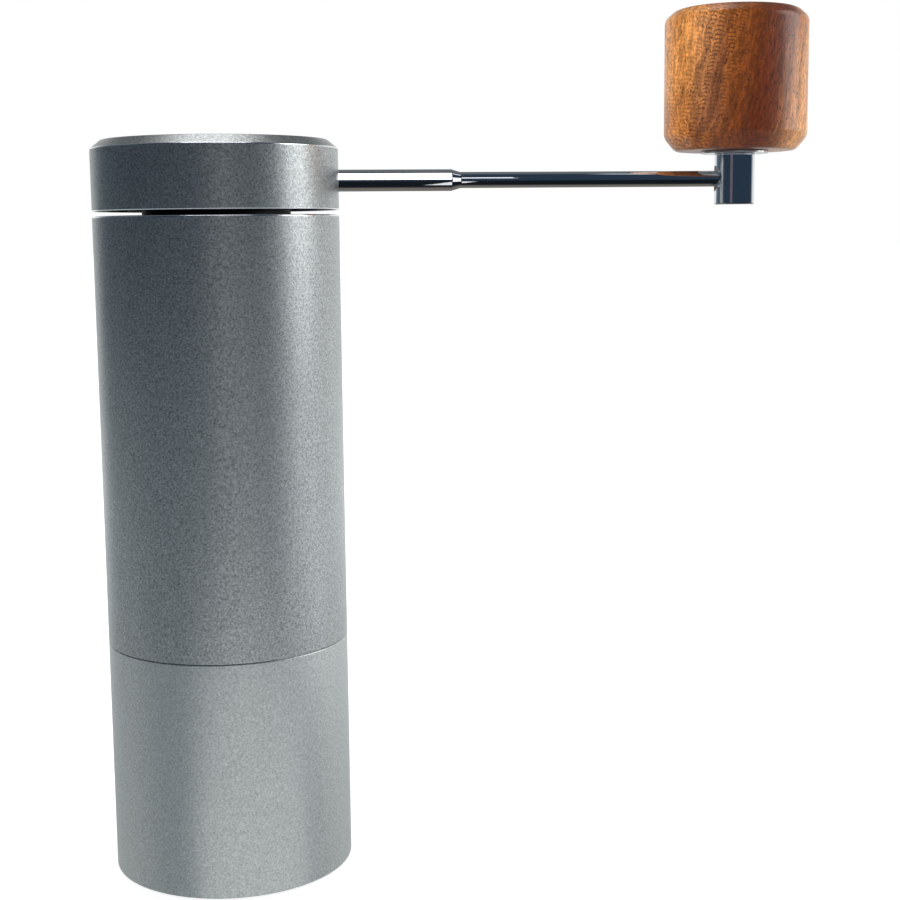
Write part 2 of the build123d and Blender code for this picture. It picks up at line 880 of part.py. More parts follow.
def knob_bush():
    body = ring(bush_diameter / 2, spindle_diameter / 2 + slip_gap, z_bush, z_bush + bush_length)
    return Pos(arm_reach, 0, 0) * body


def knob():
    radius = knob_diameter / 2
    body = turned(
        (0, z_knob),
        (radius - knob_foot_chamfer_width, z_knob),
        (radius, z_knob + knob_foot_chamfer_height),
        (radius, z_knob_top - knob_top_chamfer_height),
        (radius - knob_top_chamfer_width, z_knob_top),
        (0, z_knob_top),
    )
    body = fillet(body.edges().filter_by(GeomType.CIRCLE), knob_edge_round)
    bore_top = z_spindle_head + spindle_head_height + knob_headroom
    return Pos(arm_reach, 0, 0) * (body - disc(bush_diameter / 2 + press_gap, z_knob, bore_top))


def bearing_nodes(name, low):
    return {f"{name}_bearing_{piece}": shape for piece, shape in bearing_parts(low).items()}


def all_nodes():
    nodes = {
        "catch_cup": catch_cup(),
        "base_pad": base_pad(),
        "cup_ring": cup_ring(),
        "body_tube": body_tube(),
        "burr_carrier": burr_carrier(),
        "upper_bridge": upper_bridge(),
        "bridge_snap_ring": bridge_snap_ring(),
        "outer_burr": outer_burr(),
        "inner_burr": inner_burr(),
        "burr_spring": burr_spring(),
        "base_ring": base_ring(),
        "base_ring_screws": base_ring_screws(),
        "cup_magnets": cup_magnets(),
        "main_shaft": main_shaft(),
        "shaft_clip": shaft_clip(),
        "dial_clip": dial_clip(),
        "index_plate": index_plate(),
        "grind_dial": grind_dial(),
        "detent_balls": detent_balls(),
        "detent_springs": detent_springs(),
        "cap_shell": cap_shell(),
        "cap_badge": cap_badge(),
        "lid_plug": lid_plug(),
        "plug_screws": plug_screws(),
        "drive_hub": drive_hub(),
        "lid_magnet": lid_magnet(),
        "hub_screw": hub_screw(),
        "crank_arm": crank_arm(),
        "knob_post": knob_post(),
        "post_set_screw": post_set_screw(),
        "knob_washer": knob_washer(),
        "knob_spindle": knob_spindle(),
        "knob_bush": knob_bush(),
        "knob": knob(),
    }
    nodes.update(bearing_nodes("upper", z_high_bearing))
    nodes.update(bearing_nodes("lower", z_low_bearing))
    return nodes


os.makedirs("parts", exist_ok=True)
for node_name, node_shape in all_nodes().items():
    export_step(node_shape, f"parts/{node_name}.step")
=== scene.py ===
import json
import math

import bmesh
import bpy
from mathutils import Matrix, Vector


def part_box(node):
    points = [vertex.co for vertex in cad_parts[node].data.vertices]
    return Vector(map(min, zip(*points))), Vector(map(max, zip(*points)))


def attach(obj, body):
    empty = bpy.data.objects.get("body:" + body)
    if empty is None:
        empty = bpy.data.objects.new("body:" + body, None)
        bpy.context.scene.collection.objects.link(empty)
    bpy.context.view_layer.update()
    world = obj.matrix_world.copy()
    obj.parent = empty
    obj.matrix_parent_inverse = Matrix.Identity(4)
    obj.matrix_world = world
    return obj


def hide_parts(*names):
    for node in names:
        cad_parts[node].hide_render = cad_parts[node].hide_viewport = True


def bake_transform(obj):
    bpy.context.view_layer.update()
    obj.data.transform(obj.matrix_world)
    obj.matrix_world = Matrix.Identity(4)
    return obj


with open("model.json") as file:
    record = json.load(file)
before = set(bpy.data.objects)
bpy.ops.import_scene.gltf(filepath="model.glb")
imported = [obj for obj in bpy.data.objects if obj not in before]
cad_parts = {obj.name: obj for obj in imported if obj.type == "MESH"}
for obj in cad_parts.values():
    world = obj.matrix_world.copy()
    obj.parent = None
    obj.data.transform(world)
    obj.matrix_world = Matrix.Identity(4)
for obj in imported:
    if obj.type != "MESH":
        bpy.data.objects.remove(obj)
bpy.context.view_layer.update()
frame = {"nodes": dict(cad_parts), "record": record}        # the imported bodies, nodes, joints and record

mm = 0.001
print("frame loaded:", len(frame["nodes"]), "nodes")


# camera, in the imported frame: +Z up, the arm along +X

camera = {
    "distance": 341.0 * mm,
    "height": 137.7 * mm,
    "pitch": math.radians(7.91),
    "yaw": math.radians(8.29),
    "roll": math.radians(-0.57),
    "lens": 62.65,
    "sensor": 36.0,
}


def makeCamera():
    data = bpy.data.cameras.new("studioCamera")
    data.lens = camera["lens"]
    data.sensor_width = camera["sensor"]
    data.clip_start = 0.01
    obj = bpy.data.objects.new("studioCamera", data)
    bpy.context.scene.collection.objects.link(obj)
    turn = Matrix.Rotation(-camera["yaw"], 4, "Z") @ Matrix.Rotation(math.pi / 2 - camera["pitch"], 4, "X")
    place = Matrix.Translation((0, -camera["distance"], camera["height"]))
    obj.matrix_world = place @ turn @ Matrix.Rotation(camera["roll"], 4, "Z")
    bpy.context.scene.camera = obj


makeCamera()
bpy.context.scene.view_settings.view_transform = "Standard"


# node helpers

def newMaterial(name):
    mat = bpy.data.materials.new(name)
    mat.use_nodes = True
    tree = mat.node_tree
    return mat, tree, tree.nodes["Principled BSDF"]


def link(tree, source, target):
    tree.links.new(source, target)


def setInput(tree, node, key, value):
    # a link or a plain value, into the socket with that name or number
    if isinstance(value, bpy.types.NodeSocket):
        tree.links.new(value, node.inputs[key])
    else:
        node.inputs[key].default_value = value


def addNode(tree, kind, values=None, **inputs):
    # values sets the node's own properties, inputs its sockets
    node = tree.nodes.new(kind)
    for key, value in (values or {}).items():
        setattr(node, key, value)
    for key, value in inputs.items():
        setInput(tree, node, key, value)
    return node


def calc(tree, operation, *values):
    # one Math node, as its output
    node = addNode(tree, "ShaderNodeMath", {"operation": operation})
    for i, value in enumerate(values):
        setInput(tree, node, i, value)
    return node.outputs[0]


def scaleVector(tree, vector, factor):
    node = addNode(tree, "ShaderNodeVectorMath", {"operation": "SCALE"}, Scale=factor)
    setInput(tree, node, 0, vector)
    return node.outputs["Vector"]


def lengthOf(tree, vector):
    node = addNode(tree, "ShaderNodeVectorMath", {"operation": "LENGTH"})
    setInput(tree, node, 0, vector)
    return node.outputs["Value"]


def mapRange(tree, value, low, high, start=0.0, end=1.0, smooth=False):
    node = addNode(tree, "ShaderNodeMapRange", {"interpolation_type": "SMOOTHSTEP" if smooth else "LINEAR"},
                   Value=value)
    for key, number in (("From Min", low), ("From Max", high), ("To Min", start), ("To Max", end)):
        node.inputs[key].default_value = number
    return node.outputs[0]


def mapping(tree, vector, **inputs):
    return addNode(tree, "ShaderNodeMapping", {"vector_type": "POINT"}, Vector=vector, **inputs).outputs[0]


def ramp(tree, factor, stops):
    node = addNode(tree, "ShaderNodeValToRGB", Fac=factor)
    elements = node.color_ramp.elements
    while len(elements) < len(stops):
        elements.new(0.5)
    for element, (position, colour) in zip(elements, stops):
        element.position = position
        element.color = (*colour, 1.0)
    return node.outputs["Color"]


def blendColours(tree, factor, first, second):
    node = addNode(tree, "ShaderNodeMix", {"data_type": "RGBA"}, Factor=factor)
    for key, colour in (("A", first), ("B", second)):
        plain = not isinstance(colour, bpy.types.NodeSocket)
        setInput(tree, node, key, (*colour, 1.0) if plain else colour)
    return node.outputs["Result"]


def bump(tree, bsdf, height, distance):
    node = addNode(tree, "ShaderNodeBump", Strength=1.0, Distance=distance, Height=height)
    link(tree, node.outputs["Normal"], bsdf.inputs["Normal"])


# shared effects, each one a node group

def newGroup(name, inputs, outputs):
    # inputs are names with their defaults; the group comes with its two end nodes
    group = bpy.data.node_groups.new(name, "ShaderNodeTree")
    for key, default in inputs.items():
        socket = group.interface.new_socket(key, in_out="INPUT", socket_type="NodeSocketFloat")
        socket.default_value = default
    for key in outputs:
        group.interface.new_socket(key, in_out="OUTPUT", socket_type="NodeSocketFloat")
    return group, group.nodes.new("NodeGroupInput"), group.nodes.new("NodeGroupOutput")


blastGrain = {"detail": 2.0, "mottle": 0.6, "contrast": 4.0, "cloudScale": 60.0, "cloudDetail": 3.0}


def makeGrainGroup():
    # fine blasted grain: a brightness factor, a roughness and a height
    inputs = {"Scale": 3500.0, "Amount": 0.15, "Roughness": 0.4, "Spread": 0.05}
    group, start, end = newGroup("blastedGrain", inputs, ("Factor", "Roughness", "Height"))
    coords = group.nodes.new("ShaderNodeTexCoord").outputs["Object"]
    fine = addNode(group, "ShaderNodeTexNoise", Vector=coords, Scale=start.outputs["Scale"],
                   Detail=blastGrain["detail"], Roughness=blastGrain["mottle"]).outputs["Fac"]
    cloud = addNode(group, "ShaderNodeTexNoise", Vector=coords, Scale=blastGrain["cloudScale"],
                    Detail=blastGrain["cloudDetail"]).outputs["Fac"]
    scaled = calc(group, "MULTIPLY", calc(group, "SUBTRACT", fine, 0.5), start.outputs["Amount"])
    factor = calc(group, "MULTIPLY_ADD", scaled, blastGrain["contrast"], 1.0)
    wide = calc(group, "MULTIPLY_ADD", calc(group, "SUBTRACT", cloud, 0.5), start.outputs["Spread"],
                start.outputs["Roughness"])
    for key, source in (("Factor", factor), ("Roughness", wide), ("Height", fine)):
        link(group, source, end.inputs[key])
    return group


latheLines = {"detail": 2.0, "mottle": 0.7}


def makeTurningGroup():
    # fine lathe lines round the Z axis, as a height and a brightness factor
    group, start, end = newGroup("turningLines", {"Scale": 2500.0, "Amount": 0.1}, ("Factor", "Height"))
    coords = group.nodes.new("ShaderNodeTexCoord").outputs["Object"]
    split = addNode(group, "ShaderNodeSeparateXYZ", Vector=coords)
    flat = addNode(group, "ShaderNodeCombineXYZ", X=split.outputs["X"], Y=split.outputs["Y"])
    radius = lengthOf(group, flat.outputs[0])
    place = addNode(group, "ShaderNodeCombineXYZ", X=radius, Y=split.outputs["Z"])
    lines = addNode(group, "ShaderNodeTexNoise", {"noise_dimensions": "2D"}, Vector=place.outputs[0],
                    Scale=start.outputs["Scale"], Detail=latheLines["detail"],
                    Roughness=latheLines["mottle"]).outputs["Fac"]
    factor = calc(group, "MULTIPLY_ADD", calc(group, "SUBTRACT", lines, 0.5), start.outputs["Amount"], 1.0)
    for key, source in (("Factor", factor), ("Height", lines)):
        link(group, source, end.inputs[key])
    return group


grainGroup = makeGrainGroup()
turningGroup = makeTurningGroup()


def placeGroup(tree, group, **values):
    node = tree.nodes.new("ShaderNodeGroup")
    node.node_tree = group
    for key, value in values.items():
        node.inputs[key].default_value = value
    return node


# materials, one function for each kind of finish

def blastedMetal(name, colour, roughness, amount=0.16, scale=3400.0, height=0.012):
    mat, tree, bsdf = newMaterial(name)
    grain = placeGroup(tree, grainGroup, Scale=scale, Amount=amount, Roughness=roughness, Spread=0.06)
    link(tree, scaleVector(tree, colour, grain.outputs["Factor"]), bsdf.inputs["Base Color"])
    link(tree, grain.outputs["Roughness"], bsdf.inputs["Roughness"])
    bsdf.inputs["Metallic"].default_value = 1.0
    bump(tree, bsdf, grain.outputs["Height"], height * mm)
    return mat


def turnedMetal(name, colour, roughness, amount=0.25, scale=2600.0, height=0.004):
    mat, tree, bsdf = newMaterial(name)
    lines = placeGroup(tree, turningGroup, Scale=scale, Amount=amount)
    grain = placeGroup(tree, grainGroup, Scale=1800.0, Amount=0.05, Roughness=roughness, Spread=0.12)
    link(tree, scaleVector(tree, colour, lines.outputs["Factor"]), bsdf.inputs["Base Color"])
    link(tree, grain.outputs["Roughness"], bsdf.inputs["Roughness"])
    bsdf.inputs["Metallic"].default_value = 1.0
    bump(tree, bsdf, lines.outputs["Height"], height * mm)
    return mat


def polishedMetal(name, colour, roughness, height=0.01):
    # plated steel: nearly a mirror, with faint polishing waves
    mat, tree, bsdf = newMaterial(name)
    grain = placeGroup(tree, grainGroup, Scale=260.0, Amount=0.02, Roughness=roughness, Spread=0.05)
    link(tree, scaleVector(tree, colour, grain.outputs["Factor"]), bsdf.inputs["Base Color"])
    link(tree, grain.outputs["Roughness"], bsdf.inputs["Roughness"])
    bsdf.inputs["Metallic"].default_value = 1.0
    bump(tree, bsdf, grain.outputs["Height"], height * mm)
    return mat


def mouldedPlastic(name, colour, roughness, height=0.02):
    mat, tree, bsdf = newMaterial(name)
    grain = placeGroup(tree, grainGroup, Scale=2200.0, Amount=0.08, Roughness=roughness, Spread=0.2)
    link(tree, scaleVector(tree, colour, grain.outputs["Factor"]), bsdf.inputs["Base Color"])
    link(tree, grain.outputs["Roughness"], bsdf.inputs["Roughness"])
    bump(tree, bsdf, grain.outputs["Height"], height * mm)
    return mat


# lengths in mm from the knob's axis; four numbers in a row map a range of noise to a range of strength

wood = {
    # the colour across the knob, left to right: the wood's own tone, with painted light in the paler left and
    # right sides
    "across": [(0.0, (0.84, 0.35, 0.090)), (0.12, (0.68, 0.25, 0.055)), (0.22, (0.42, 0.125, 0.018)),
               (0.36, (0.28, 0.068, 0.008)), (0.55, (0.155, 0.025, 0.003)), (0.66, (0.18, 0.032, 0.003)),
               (0.77, (0.46, 0.155, 0.033)), (0.88, (0.72, 0.31, 0.10)), (1.0, (0.72, 0.32, 0.10))],
    "leftSide": -13.5,
    "rightSide": 17.5,
    "tilt": math.radians(13),
    "warp": {"scale": 70.0, "detail": 2.0, "reach": 4.0},
    "streak": {"scale": (430.0, 300.0, 24.0), "detail": 4.0, "distortion": 0.0},
    "fibre": {"scale": (1700.0, 1700.0, 120.0), "detail": 3.0, "distortion": 0.0},
    "crumple": {"scale": (1500.0, 1500.0, 620.0), "detail": 3.0, "distortion": 0.6},
    "mottle": 0.6,
    "streakRange": (0.42, 0.66, 0.0, 0.55),
    "streakShade": (0.085, 0.018, 0.004),
    "fibreRange": (0.28, 0.72, 0.66, 1.34),
    "crumpleRange": (0.36, 0.64, 0.68, 1.28),
    "gloss": (0.0, 1.0, 0.36, 0.54),
    "specular": 0.30,
    "coat": 0.35,
    "coatRoughness": 0.22,
    "fleckDepth": 0.6,
    "relief": 0.035,
}

flecks = {
    "shade": (0.09, 0.022, 0.005),
    "width": 1.8,
    "pitch": 0.80,
    "bow": 1.9,
    "sway": {"scale": 210.0, "detail": 2.0, "reach": 1.6},
    "scatter": 7.0,
    "wobble": 1.1,
    "line": (0.10, 0.22, 1.0, 0.0),
    "ends": (0.30, 0.48, 1.0, 0.0),
    "broken": (0.34, 0.56, 1.0, 0.60),
    "band": [(0.0, 0.30), (0.09, 0.55), (0.15, 1.0), (0.26, 1.0), (0.34, 0.55), (0.48, 0.30), (0.62, 0.08),
             (1.0, 0.12)],
    "strength": 0.95,
}

pores = {"shade": (0.035, 0.010, 0.004), "scale": (1900.0, 1900.0, 760.0), "share": 0.44,
         "edge": (0.18, 0.36, 1.0, 0.0), "strength": 0.75}


def stretchedNoise(tree, vector, look):
    node = addNode(tree, "ShaderNodeTexNoise", Vector=mapping(tree, vector, Scale=look["scale"]), Scale=1.0,
                   Detail=look["detail"], Roughness=wood["mottle"], Distortion=look["distortion"])
    return node.outputs["Fac"]


def fleckMask(tree, leaning, split, side, streak, crumple):
    # ray flecks: short bowed marks stacked in columns, strongest on the orange side
    look = flecks["sway"]
    sway = addNode(tree, "ShaderNodeTexNoise", Vector=leaning, Scale=look["scale"], Detail=look["detail"])
    across = calc(tree, "MULTIPLY_ADD", split.outputs["X"], 1.0 / (flecks["width"] * mm),
                  calc(tree, "MULTIPLY", sway.outputs["Fac"], look["reach"]))
    column = calc(tree, "FLOOR", across)
    within = calc(tree, "SUBTRACT", calc(tree, "FRACT", across), 0.5)
    offset = addNode(tree, "ShaderNodeTexWhiteNoise", {"noise_dimensions": "1D"}, W=column).outputs["Value"]
    bow = calc(tree, "MULTIPLY", calc(tree, "MULTIPLY", within, within), flecks["bow"])
    rise = calc(tree, "MULTIPLY_ADD", split.outputs["Z"], 1.0 / (flecks["pitch"] * mm), bow)
    phase = calc(tree, "ADD", rise, calc(tree, "MULTIPLY", offset, flecks["scatter"]))
    wobble = calc(tree, "MULTIPLY_ADD", crumple, flecks["wobble"], phase)
    line = mapRange(tree, calc(tree, "PINGPONG", wobble, 0.5), *flecks["line"], smooth=True)
    ends = mapRange(tree, calc(tree, "ABSOLUTE", within), *flecks["ends"], smooth=True)
    band = ramp(tree, side, [(position, (value, value, value)) for position, value in flecks["band"]])
    broken = mapRange(tree, streak, *flecks["broken"])
    return calc(tree, "MULTIPLY", calc(tree, "MULTIPLY", line, ends), calc(tree, "MULTIPLY", band, broken))


def poreMask(tree, bent):
    # short dark dashes along the grain
    cells = addNode(tree, "ShaderNodeTexVoronoi", Vector=mapping(tree, bent, Scale=pores["scale"]), Scale=1.0)
    few = calc(tree, "GREATER_THAN", cells.outputs["Color"], pores["share"])
    return calc(tree, "MULTIPLY", mapRange(tree, cells.outputs["Distance"], *pores["edge"]), few)


def knobWood(centre):
    mat, tree, bsdf = newMaterial("knobWood")
    coords = tree.nodes.new("ShaderNodeTexCoord").outputs["Object"]
    leaning = mapping(tree, mapping(tree, coords, Location=-centre), Rotation=(0.0, -wood["tilt"], 0.0))
    # slow warp, so that no line runs dead straight
    look = wood["warp"]
    warp = addNode(tree, "ShaderNodeTexNoise", Vector=leaning, Scale=look["scale"], Detail=look["detail"])
    add = addNode(tree, "ShaderNodeVectorMath", {"operation": "ADD"})
    link(tree, leaning, add.inputs[0])
    link(tree, scaleVector(tree, warp.outputs["Color"], look["reach"] * mm), add.inputs[1])
    bent = add.outputs[0]
    split = addNode(tree, "ShaderNodeSeparateXYZ", Vector=bent)
    # broad streaks and thin fibres along the grain
    streak, fibre, crumple = [stretchedNoise(tree, bent, wood[key]) for key in ("streak", "fibre", "crumple")]
    # an orange side on the left, a dark heart right of the middle, a paler right side: the wood's own tone,
    # with painted light on the lit left side and a painted highlight on the right side
    side = mapRange(tree, split.outputs["X"], wood["leftSide"] * mm, wood["rightSide"] * mm)
    toneWithPaintedLight = ramp(tree, side, wood["across"])
    streaked = blendColours(tree, mapRange(tree, streak, *wood["streakRange"]), toneWithPaintedLight, wood["streakShade"])
    fine = calc(tree, "MULTIPLY", mapRange(tree, fibre, *wood["fibreRange"]),
                mapRange(tree, crumple, *wood["crumpleRange"]))
    shaded = scaleVector(tree, streaked, fine)
    mask = fleckMask(tree, leaning, split, side, streak, crumple)
    figured = blendColours(tree, calc(tree, "MULTIPLY", mask, flecks["strength"]), shaded, flecks["shade"])
    dark = poreMask(tree, bent)
    pored = blendColours(tree, calc(tree, "MULTIPLY", dark, pores["strength"]), figured, pores["shade"])
    link(tree, pored, bsdf.inputs["Base Color"])
    # satin oil finish
    link(tree, mapRange(tree, fibre, *wood["gloss"]), bsdf.inputs["Roughness"])
    bsdf.inputs["Specular IOR Level"].default_value = wood["specular"]
    bsdf.inputs["Coat Weight"].default_value = wood["coat"]
    bsdf.inputs["Coat Roughness"].default_value = wood["coatRoughness"]
    hollows = calc(tree, "ADD", calc(tree, "MULTIPLY", mask, wood["fleckDepth"]), dark)
    bump(tree, bsdf, calc(tree, "SUBTRACT", calc(tree, "ADD", fibre, crumple), hollows), wood["relief"] * mm)
    return mat


# mesh helpers

turning = {"steps": 160, "bevelSegments": 4, "merge": 1e-7, "near": 1e-6, "rimReach": 1.05}


def ringEdges(bm, radius, height):
    near = turning["near"]
    return [edge for edge in bm.edges
            if all(abs(v.co.xy.length - radius) < near and abs(v.co.z - height) < near for v in edge.verts)]


def turnOutline(points, steps=turning["steps"]):
    # points are (radius, height) or (radius, height, bevel), in metres, round a closed outline
    bm = bmesh.new()
    verts = [bm.verts.new((p[0], 0.0, p[1])) for p in points]
    for i, v in enumerate(verts):
        other = verts[(i + 1) % len(verts)]
        if v.co.x > 0 or other.co.x > 0:
            bm.edges.new((v, other))
    bmesh.ops.spin(bm, geom=bm.verts[:] + bm.edges[:], cent=(0, 0, 0), axis=(0, 0, 1), dvec=(0, 0, 0),
                   angle=2 * math.pi, steps=steps, use_merge=True, use_duplicate=False)
    bmesh.ops.remove_doubles(bm, verts=bm.verts[:], dist=turning["merge"])
    bmesh.ops.recalc_face_normals(bm, faces=bm.faces[:])
    for point in points:
        if len(point) > 2:
            bmesh.ops.bevel(bm, geom=ringEdges(bm, point[0], point[1]), offset=point[2], offset_type="OFFSET",
                            segments=turning["bevelSegments"], profile=0.5, affect="EDGES",
                            clamp_overlap=True, material=-1)
    return bm


def addPiece(name, bm, materials, body, node, sharp=40.0):
    # a piece with no body is left attached to none
    mesh = bpy.data.meshes.new(name)
    bm.to_mesh(mesh)
    bm.free()
    mesh.shade_smooth()
    mesh.set_sharp_from_angle(angle=math.radians(sharp))
    obj = bpy.data.objects.new(name, mesh)
    bpy.context.scene.collection.objects.link(obj)
    for mat in materials:
        mesh.materials.append(mat)
    weighted = obj.modifiers.new("weightedNormal", "WEIGHTED_NORMAL")
    weighted.keep_sharp = True
    if body:
        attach(obj, body)
    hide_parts(node)
    return obj


def cutAway(bm, cutter):
    # the first solid less the second
    objects = []
    for source in (bm, cutter):
        mesh = bpy.data.meshes.new("cutSolid")
        source.to_mesh(mesh)
        source.free()
        obj = bpy.data.objects.new("cutSolid", mesh)
        bpy.context.scene.collection.objects.link(obj)
        objects.append(obj)
    modifier = objects[0].modifiers.new("cut", "BOOLEAN")
    modifier.operation = "DIFFERENCE"
    modifier.solver = "EXACT"
    modifier.object = objects[1]
    bpy.context.view_layer.update()
    done = bpy.data.meshes.new_from_object(objects[0].evaluated_get(bpy.context.evaluated_depsgraph_get()))
    result = bmesh.new()
    result.from_mesh(done)
    for obj in objects:
        mesh = obj.data
        bpy.data.objects.remove(obj)
        bpy.data.meshes.remove(mesh)
    bpy.data.meshes.remove(done)
    return result


def alongX(bm, height):
    # lays a solid that was turned round Z along +X, at a height
    bm.transform(Matrix.Translation((0, 0, height)) @ Matrix.Rotation(math.pi / 2, 4, "Y"))
    return bm


def brightRim(bm, radius, height, width):
    # the narrow faces of a broken edge take the second material
    reach = width * turning["rimReach"]
    for face in bm.faces:
        if all(abs(v.co.z - height) < reach and abs(v.co.xy.length - radius) < reach for v in face.verts):
            face.material_index = 1


# finishes, by material slot

finishes = {
    "body_aluminium": blastedMetal("anodisedAluminium", (0.405, 0.42, 0.42), 0.37, 0.50, 2600.0, 0.035),
    "inner_aluminium": turnedMetal("turnedAluminium", (0.62, 0.63, 0.64), 0.32),
    "dial_aluminium": blastedMetal("blackAnodised", (0.045, 0.046, 0.05), 0.42, height=0.006),
    "burr_steel": turnedMetal("groundBurrSteel", (0.50, 0.50, 0.51), 0.24),
    "polished_steel": polishedMetal("polishedSteel", (0.78, 0.79, 0.82), 0.04),
    "turned_steel": turnedMetal("turnedSteel", (0.56, 0.56, 0.57), 0.26),
    "bearing_steel": polishedMetal("bearingSteel", (0.70, 0.70, 0.72), 0.10),
    "spring_steel": polishedMetal("springSteel", (0.36, 0.36, 0.38), 0.24),
    "screw_steel": turnedMetal("darkScrewSteel", (0.12, 0.12, 0.125), 0.34),
    "magnet_nickel": polishedMetal("nickelPlate", (0.66, 0.63, 0.57), 0.14),
    "black_plastic": mouldedPlastic("blackPlastic", (0.022, 0.023, 0.026), 0.48),
    "bush_brass": turnedMetal("turnedBrass", (0.72, 0.50, 0.20), 0.24),
    "pad_rubber": mouldedPlastic("padRubber", (0.028, 0.028, 0.029), 0.72, 0.05),
}
knobCentre = (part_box("knob")[0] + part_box("knob")[1]) / 2
finishes["knob_wood"] = knobWood(knobCentre)

# single pieces whose finish is not that of their slot
ownFinishes = {
    "cup": blastedMetal("anodisedCup", (0.53, 0.545, 0.54), 0.39, 0.30, 2600.0, 0.03),
    "post": polishedMetal("postSteel", (0.74, 0.76, 0.80), 0.09),
    "cutEdge": turnedMetal("brightCutEdge", (0.78, 0.80, 0.82), 0.18),
}
print("materials made:", len(finishes) + len(ownFinishes))

bodyOf = {node: body for body, members in frame["record"]["behaviour"]["bodies"].items() for node in members}
slotOf = {entry["node"]: entry["material_slot"] for entry in frame["record"]["subparts"]}
for nodeName, nodeObject in frame["nodes"].items():
    nodeObject.data.materials.clear()
    nodeObject.data.materials.append(finishes[slotOf[nodeName]])


# body: cup, tube and cap, turned from their outlines; lengths in mm

cup = {"wall": 3.2, "floor": 3.2, "mouthWall": 2.2, "mouthDepth": 9.8, "padRecess": 1.4, "padRadius": 21.52,
       "baseBreak": 0.3, "rimBreak": 0.25, "floorRound": 3.0, "padBreak": 0.15, "mouthBreak": 0.3,
       "ledgeBreak": 0.2}


def makeCup():
    low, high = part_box("catch_cup")
    outer, base, rim = high.x, low.z, high.z
    inner = outer - cup["wall"] * mm
    mouth = outer - cup["mouthWall"] * mm
    ledge = rim - cup["mouthDepth"] * mm
    floor = base + cup["floor"] * mm
    pad = cup["padRadius"] * mm
    seat = base + cup["padRecess"] * mm
    bm = turnOutline([
        (0, seat), (pad, seat), (pad, base, cup["padBreak"] * mm), (outer, base, cup["baseBreak"] * mm),
        (outer, rim, cup["rimBreak"] * mm), (mouth, rim, cup["mouthBreak"] * mm), (mouth, ledge),
        (inner, ledge, cup["ledgeBreak"] * mm), (inner, floor, cup["floorRound"] * mm), (0, floor),
    ])
    addPiece("catchCup", bm, [ownFinishes["cup"]], "cup", "catch_cup")


tube = {"bayWall": 3.2, "hopperWall": 3.6, "mouthWall": 3.0, "mouthDepth": 13.0, "rimBreak": 0.4,
        "baseBreak": 0.25, "mouthBreak": 0.4, "ringGroove": 0.6, "ringThickness": 0.82}


def makeTube():
    low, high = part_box("body_tube")
    outer, base, rim = high.x, low.z, high.z
    bay = outer - tube["bayWall"] * mm
    hopper = outer - tube["hopperWall"] * mm
    mouth = outer - tube["mouthWall"] * mm
    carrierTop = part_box("burr_carrier")[1].z
    bridgeLow = rim - tube["mouthDepth"] * mm
    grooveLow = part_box("bridge_snap_ring")[0].z
    grooveHigh = grooveLow + tube["ringThickness"] * mm
    grooved = mouth + tube["ringGroove"] * mm
    bm = turnOutline([
        (bay, base), (outer, base, tube["baseBreak"] * mm), (outer, rim, tube["rimBreak"] * mm),
        (mouth, rim, tube["mouthBreak"] * mm), (mouth, grooveHigh), (grooved, grooveHigh),
        (grooved, grooveLow), (mouth, grooveLow), (mouth, bridgeLow), (hopper, bridgeLow),
        (hopper, carrierTop), (bay, carrierTop),
    ])
    brightRim(bm, outer, rim, tube["rimBreak"] * mm)
    materials = [finishes["body_aluminium"], ownFinishes["cutEdge"]]
    addPiece("bodyTube", bm, materials, "housing", "body_tube")


cap = {"wall": 2.8, "roof": 2.8, "chamferWidth": 2.2, "chamferHeight": 1.8, "edge": 0.25, "shoulder": 0.18,
       "boreBreak": 0.15, "badgeRadius": 16.02, "badgeDepth": 0.77, "badgeBreak": 0.12, "armHole": 2.4,
       "holePlace": 0.7, "holeSteps": 64}      # the hole's middle as a share of the radius


def makeCap():
    low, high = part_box("cap_shell")
    outer, base, top = high.x, low.z, high.z
    bore = outer - cap["wall"] * mm
    roof = top - cap["roof"] * mm
    bevel = top - cap["chamferHeight"] * mm
    seat = top - cap["badgeDepth"] * mm
    edge, shoulder, recess = cap["edge"] * mm, cap["shoulder"] * mm, cap["badgeRadius"] * mm
    bm = turnOutline([
        (bore, base, cap["boreBreak"] * mm), (outer, base, edge), (outer, bevel, shoulder),
        (outer - cap["chamferWidth"] * mm, top, shoulder), (recess, top, cap["badgeBreak"] * mm),
        (recess, seat), (0, seat), (0, roof), (bore, roof),
    ])
    brightRim(bm, outer, base, edge)
    brightRim(bm, outer, bevel, shoulder)
    # the arm leaves through a hole in the +X side
    armLow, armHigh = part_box("crank_arm")
    radius = cap["armHole"] * mm
    hole = bmesh.new()
    bmesh.ops.create_cone(hole, cap_ends=True, segments=cap["holeSteps"], radius1=radius, radius2=radius,
                          depth=outer)
    hole.transform(Matrix.Translation((outer * cap["holePlace"], 0, (armLow.z + armHigh.z) / 2))
                   @ Matrix.Rotation(math.pi / 2, 4, "Y"))
    materials = [finishes["body_aluminium"], ownFinishes["cutEdge"]]
    addPiece("crankCap", cutAway(bm, hole), materials, "crank", "cap_shell")


badge = {"grooveInset": 1.5, "grooveWidth": 0.5, "grooveDepth": 0.2, "edge": 0.15}


def makeBadge():
    low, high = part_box("cap_badge")
    radius, base, top = high.x, low.z, high.z
    at = radius - badge["grooveInset"] * mm
    wide = badge["grooveWidth"] * mm
    deep = top - badge["grooveDepth"] * mm
    bm = turnOutline([
        (0, base), (radius, base), (radius, top, badge["edge"] * mm), (at, top), (at - wide / 4, deep),
        (at - wide * 3 / 4, deep), (at - wide, top), (0, top),
    ])
    addPiece("capBadge", bm, [finishes["dial_aluminium"]], "crank", "cap_badge")


makeCup()
makeTube()
makeCap()
makeBadge()
print("body made")


# the inner pieces keep their CAD shapes, with merged faces and broken edges, in mm

